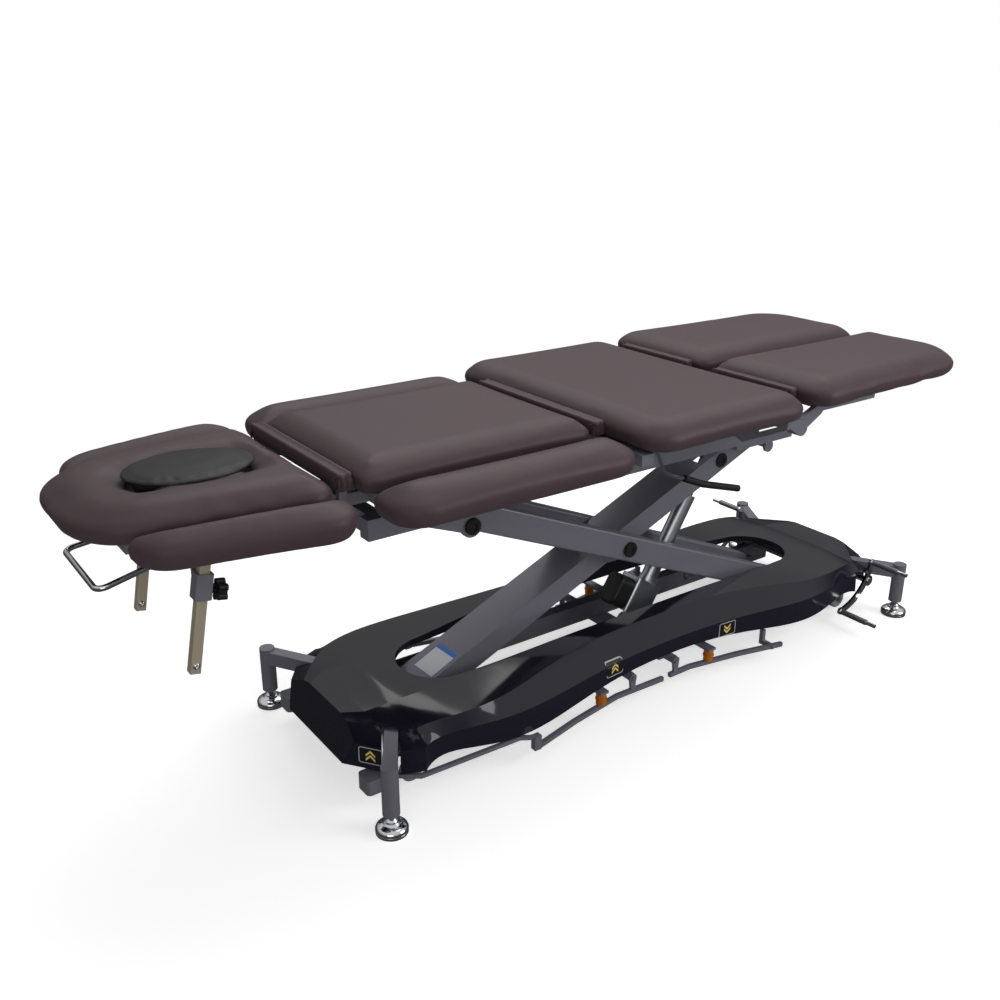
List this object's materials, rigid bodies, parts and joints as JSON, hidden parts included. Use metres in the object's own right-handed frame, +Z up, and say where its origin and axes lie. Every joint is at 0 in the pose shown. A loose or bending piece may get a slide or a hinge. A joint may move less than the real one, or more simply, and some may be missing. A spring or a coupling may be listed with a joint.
{
  "type": "physiotherapy table",
  "caption": "Electric scissor-lift physiotherapy examination table with sectioned brown upholstery, gloss black base cover and castors.",
  "frame": {"origin": "on the floor under the middle of the table's outline", "axes": "+X towards the foot end, -Y the side with the camera, +Z up"},
  "size_m": [2, 0.676, 0.681],
  "materials": {
    "upholstery": "fine grained coated upholstery, satin",
    "plug_leather": "smooth coated upholstery, satin",
    "frame_metal": "powder coat, fine satin",
    "cover_gloss": "high gloss",
    "chrome": "polished",
    "zinc_steel": "zinc plated",
    "actuator_aluminium": "satin anodised",
    "black_plastic": "matt moulded",
    "black_rubber": "matt",
    "grey_rubber": "matt",
    "amber_rubber": "translucent satin"
  },
  "bodies": {
    "base": {"base_frame": "frame_metal", "base_cover": "cover_gloss", "leveling_foot_1": "chrome", "leveling_foot_2": "chrome", "leveling_foot_3": "chrome", "leveling_foot_4": "chrome", "bar_bumpers": "amber_rubber"},
    "wheel_lift": {"wheel_lift_shaft": "chrome", "pedal_sleeves": "black_rubber"},
    "castor_carrier_head_body": {"castor_carrier_head": "frame_metal"},
    "castor_carrier_foot_body": {"castor_carrier_foot": "frame_metal"},
    "castor_fork_1_body": {"castor_fork_1": "zinc_steel"},
    "castor_wheel_1_body": {"castor_wheel_1": "grey_rubber"},
    "castor_fork_2_body": {"castor_fork_2": "zinc_steel"},
    "castor_wheel_2_body": {"castor_wheel_2": "grey_rubber"},
    "castor_fork_3_body": {"castor_fork_3": "zinc_steel"},
    "castor_wheel_3_body": {"castor_wheel_3": "grey_rubber"},
    "castor_fork_4_body": {"castor_fork_4": "zinc_steel"},
    "castor_wheel_4_body": {"castor_wheel_4": "grey_rubber"},
    "bar_up_near": {"foot_bar_up_near": "frame_metal"},
    "bar_down_near": {"foot_bar_down_near": "frame_metal"},
    "bar_up_far": {"foot_bar_up_far": "frame_metal"},
    "bar_down_far": {"foot_bar_down_far": "frame_metal"},
    "inner_arm_body": {"inner_arm": "frame_metal", "caps_p3": "black_plastic"},
    "outer_arms_body": {"outer_arms": "frame_metal", "caps_p2": "black_plastic"},
    "actuator_body": {"actuator_housing": "actuator_aluminium", "actuator_motor": "black_plastic"},
    "rod_body": {"actuator_rod": "chrome"},
    "lift": {"lift_frame": "frame_metal", "caps_p1": "black_plastic", "pelvis_pad": "upholstery", "gap_strip_back": "upholstery", "gap_strip_leg_near": "upholstery", "gap_strip_leg_far": "upholstery"},
    "lever": {"release_lever": "chrome", "lever_grip": "black_rubber"},
    "back": {"back_frame": "frame_metal", "back_pad": "upholstery", "gap_strip_head": "upholstery"},
    "wing_near": {"wing_hinge_near": "zinc_steel", "back_wing_near": "upholstery"},
    "wing_far": {"wing_hinge_far": "zinc_steel", "back_wing_far": "upholstery"},
    "head": {"head_frame": "frame_metal", "head_pad": "upholstery"},
    "plug": {"head_plug": "plug_leather"},
    "release_bar": {"head_release_bar": "chrome"},
    "armrest_near": {"armrest_support_near": "chrome", "armrest_pad_near": "upholstery"},
    "knob_near": {"star_knob_near": "black_plastic"},
    "leg_near": {"leg_frame_near": "frame_metal", "leg_pad_near": "upholstery"},
    "armrest_far": {"armrest_support_far": "chrome", "armrest_pad_far": "upholstery"},
    "knob_far": {"star_knob_far": "black_plastic"},
    "leg_far": {"leg_frame_far": "frame_metal", "leg_pad_far": "upholstery"}
  },
  "joints": [
    {"name": "lift", "type": "hinge", "parent": "base", "child": "inner_arm_body", "pos_m": [-0.384, 0, 0.085], "axis": [0, -1, 0], "range_deg": [-8, 13]},
    {"name": "scissor", "type": "hinge", "parent": "inner_arm_body", "child": "outer_arms_body", "pos_m": [0.14568, 0, 0.30875], "axis": [0, -1, 0], "range_deg": [-27, 17]},
    {"name": "level", "type": "hinge", "parent": "outer_arms_body", "child": "lift", "pos_m": [-0.27432, 0, 0.46775], "axis": [0, -1, 0], "range_deg": [-9, 14]},
    {"name": "actuator_swing", "type": "hinge", "parent": "base", "child": "actuator_body", "pos_m": [0.232, 0, 0.07], "axis": [0, -1, 0], "range_deg": [-13, 21]},
    {"name": "actuator_stroke", "type": "slide", "parent": "actuator_body", "child": "rod_body", "axis": [0.5217, 0, 0.8531], "range_m": [-0.08, 0.13]},
    {"name": "back_tilt", "type": "hinge", "parent": "lift", "child": "back", "pos_m": [-0.047, 0, 0.642], "axis": [0, 1, 0], "range_deg": [0, 60], "deforming": ["gap_strip_back"]},
    {"name": "head_tilt", "type": "hinge", "parent": "back", "child": "head", "pos_m": [-0.576, 0, 0.642], "axis": [0, 1, 0], "range_deg": [-25, 30], "deforming": ["gap_strip_head"]},
    {"name": "leg_tilt_near", "type": "hinge", "parent": "lift", "child": "leg_near", "pos_m": [0.417, -0.285, 0.588], "axis": [0, -1, 0], "range_deg": [-20, 15], "deforming": ["gap_strip_leg_near"]},
    {"name": "wing_fold_near", "type": "hinge", "parent": "back", "child": "wing_near", "pos_m": [-0.311, -0.207, 0.584], "axis": [1, 0, 0], "range_deg": [0, 75]},
    {"name": "armrest_height_near", "type": "slide", "parent": "head", "child": "armrest_near", "axis": [0.1908, 0, 0.9816], "range_m": [-0.04, 0]},
    {"name": "knob_turn_near", "type": "hinge", "parent": "head", "child": "knob_near", "pos_m": [-0.80845, -0.137, 0.49771], "axis": [0.9816, 0, -0.1908], "continuous": true},
    {"name": "leg_tilt_far", "type": "hinge", "parent": "lift", "child": "leg_far", "pos_m": [0.417, 0.285, 0.588], "axis": [0, -1, 0], "range_deg": [-20, 15], "deforming": ["gap_strip_leg_far"]},
    {"name": "wing_fold_far", "type": "hinge", "parent": "back", "child": "wing_far", "pos_m": [-0.311, 0.207, 0.584], "axis": [-1, 0, 0], "range_deg": [0, 75]},
    {"name": "armrest_height_far", "type": "slide", "parent": "head", "child": "armrest_far", "axis": [0.1908, 0, 0.9816], "range_m": [-0.04, 0]},
    {"name": "knob_turn_far", "type": "hinge", "parent": "head", "child": "knob_far", "pos_m": [-0.80845, 0.137, 0.49771], "axis": [0.9816, 0, -0.1908], "continuous": true},
    {"name": "plug_lift", "type": "slide", "parent": "head", "child": "plug", "axis": [0, 0, 1], "range_m": [0, 0.06]},
    {"name": "release_bar_squeeze", "type": "hinge", "parent": "head", "child": "release_bar", "pos_m": [-0.828, 0, 0.548], "axis": [0, 1, 0], "range_deg": [-6, 8], "stiffness_Nm_per_rad": 4},
    {"name": "side_lever_pull", "type": "hinge", "parent": "lift", "child": "lever", "pos_m": [0.1, -0.2, 0.575], "axis": [0, -1, 0], "range_deg": [-8, 8], "stiffness_Nm_per_rad": 6},
    {"name": "wheel_lift_turn", "type": "hinge", "parent": "base", "child": "wheel_lift", "pos_m": [0.845, 0, 0.092], "axis": [0, 1, 0], "range_deg": [0, 10]},
    {"name": "castors_foot", "type": "hinge", "parent": "base", "child": "castor_carrier_foot_body", "pos_m": [0.7, 0, 0.058], "axis": [0, 1, 0], "range_deg": [0, 3.6]},
    {"name": "castors_head", "type": "hinge", "parent": "base", "child": "castor_carrier_head_body", "pos_m": [-0.356, 0, 0.058], "axis": [0, 1, 0], "range_deg": [-3.6, 0]},
    {"name": "castor_swivel_1", "type": "hinge", "parent": "castor_carrier_head_body", "child": "castor_fork_1_body", "pos_m": [-0.453, -0.158, 0.08], "axis": [0, 0, 1], "continuous": true},
    {"name": "castor_roll_1", "type": "hinge", "parent": "castor_fork_1_body", "child": "castor_wheel_1_body", "pos_m": [-0.461, -0.158, 0.031], "axis": [0, 1, 0], "continuous": true},
    {"name": "castor_swivel_2", "type": "hinge", "parent": "castor_carrier_head_body", "child": "castor_fork_2_body", "pos_m": [-0.453, 0.158, 0.08], "axis": [0, 0, 1], "continuous": true},
    {"name": "castor_roll_2", "type": "hinge", "parent": "castor_fork_2_body", "child": "castor_wheel_2_body", "pos_m": [-0.461, 0.158, 0.031], "axis": [0, 1, 0], "continuous": true},
    {"name": "castor_swivel_3", "type": "hinge", "parent": "castor_carrier_foot_body", "child": "castor_fork_3_body", "pos_m": [0.797, -0.158, 0.08], "axis": [0, 0, 1], "continuous": true},
    {"name": "castor_roll_3", "type": "hinge", "parent": "castor_fork_3_body", "child": "castor_wheel_3_body", "pos_m": [0.805, -0.158, 0.031], "axis": [0, 1, 0], "continuous": true},
    {"name": "castor_swivel_4", "type": "hinge", "parent": "castor_carrier_foot_body", "child": "castor_fork_4_body", "pos_m": [0.797, 0.158, 0.08], "axis": [0, 0, 1], "continuous": true},
    {"name": "castor_roll_4", "type": "hinge", "parent": "castor_fork_4_body", "child": "castor_wheel_4_body", "pos_m": [0.805, 0.158, 0.031], "axis": [0, 1, 0], "continuous": true},
    {"name": "bar_up_press_near", "type": "hinge", "parent": "base", "child": "bar_up_near", "pos_m": [0.067, -0.2, 0.07], "axis": [0, -1, 0], "range_deg": [0, 2.2], "stiffness_Nm_per_rad": 200, "springref_deg": -171.89},
    {"name": "bar_down_press_near", "type": "hinge", "parent": "base", "child": "bar_down_near", "pos_m": [0.194, -0.2, 0.07], "axis": [0, 1, 0], "range_deg": [0, 2.2], "stiffness_Nm_per_rad": 120, "springref_deg": -171.89},
    {"name": "bar_up_press_far", "type": "hinge", "parent": "base", "child": "bar_up_far", "pos_m": [0.067, 0.2, 0.07], "axis": [0, -1, 0], "range_deg": [0, 2.2], "stiffness_Nm_per_rad": 200, "springref_deg": -171.89},
    {"name": "bar_down_press_far", "type": "hinge", "parent": "base", "child": "bar_down_far", "pos_m": [0.194, 0.2, 0.07], "axis": [0, 1, 0], "range_deg": [0, 2.2], "stiffness_Nm_per_rad": 120, "springref_deg": -171.89}
  ],
  "couplings": [
    {"joint": "scissor", "follows": "lift", "ratio": -2},
    {"joint": "level", "follows": "lift", "ratio": 1},
    {"joint": "actuator_swing", "follows": "lift", "ratio": 1.54},
    {"joint": "actuator_stroke", "follows": "lift", "m_per_rad": 0.544},
    {"joint": "castors_foot", "follows": "wheel_lift_turn", "ratio": 0.35},
    {"joint": "castors_head", "follows": "wheel_lift_turn", "ratio": -0.35}
  ]
}
